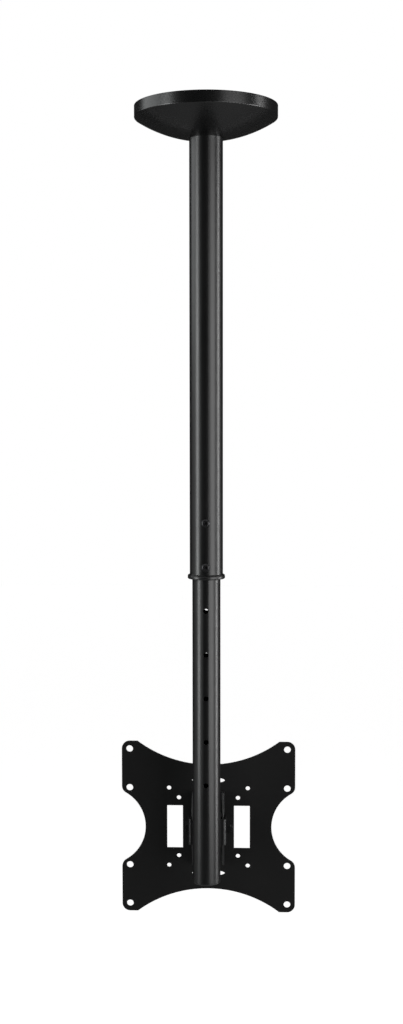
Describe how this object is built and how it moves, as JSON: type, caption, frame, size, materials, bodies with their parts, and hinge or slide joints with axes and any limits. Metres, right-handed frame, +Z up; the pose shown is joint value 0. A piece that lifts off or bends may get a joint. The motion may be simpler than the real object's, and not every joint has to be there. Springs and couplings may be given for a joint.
{
  "type": "tv ceiling mount",
  "caption": "Telescopic ceiling mount for a flat screen: round ceiling cover, sliding pole with lock screws, and a swivel and tilt head with a scooped screen plate.",
  "frame": {"origin": "middle of the ceiling plate's upper face, on the pole's axis", "axes": "+Z up along the pole, +Y towards the screen, X across the screen plate"},
  "size_m": [0.22, 0.17, 0.9954],
  "materials": {
    "tube_paint": "semi-gloss black powder coat on steel tube",
    "frame_paint": "satin black powder coat on folded steel",
    "plate_paint": "satin black powder coat on flat steel",
    "cover_plastic": "satin black moulded plastic",
    "fitting_plastic": "matt black nylon",
    "black_zinc": "black zinc on steel fasteners"
  },
  "bodies": {
    "ceiling_mount": {"ceiling_plate": "frame_paint", "pole_socket": "frame_paint", "socket_bolts": "black_zinc", "socket_nuts": "black_zinc", "outer_tube": "tube_paint", "tube_collar": "fitting_plastic", "height_screws": "black_zinc"},
    "cover": {"ceiling_cover": "cover_plastic"},
    "drop_tube": {"inner_tube": "tube_paint", "glide_bush": "fitting_plastic", "tube_end_cap": "fitting_plastic", "upper_swivel_lug": "frame_paint", "lower_swivel_lug": "frame_paint", "swivel_bolt": "black_zinc", "swivel_nut": "black_zinc", "swivel_washers": "black_zinc", "swivel_friction_washers": "fitting_plastic"},
    "yoke": {"swivel_yoke": "frame_paint", "swivel_sleeve": "black_zinc", "tilt_bolt": "black_zinc", "tilt_nut": "black_zinc", "tilt_washers": "black_zinc"},
    "screen_plate": {"tilt_bracket": "frame_paint", "tilt_sleeve": "black_zinc", "tilt_friction_washers": "fitting_plastic", "bracket_rivets": "black_zinc", "vesa_plate": "plate_paint"}
  },
  "joints": [
    {"name": "cover_slide", "type": "slide", "parent": "ceiling_mount", "child": "cover", "axis": [0, 0, -1], "range_m": [0, 0.3]},
    {"name": "height_slide", "type": "slide", "parent": "ceiling_mount", "child": "drop_tube", "axis": [0, 0, 1], "range_m": [0, 0.265]},
    {"name": "swivel", "type": "hinge", "parent": "drop_tube", "child": "yoke", "pos_m": [0, 0.035, -0.8794], "axis": [0, 0, 1], "range_deg": [-30, 30]},
    {"name": "tilt", "type": "hinge", "parent": "yoke", "child": "screen_plate", "pos_m": [0, 0.0465, -0.8794], "axis": [-1, 0, 0], "range_deg": [-5, 20]}
  ]
}
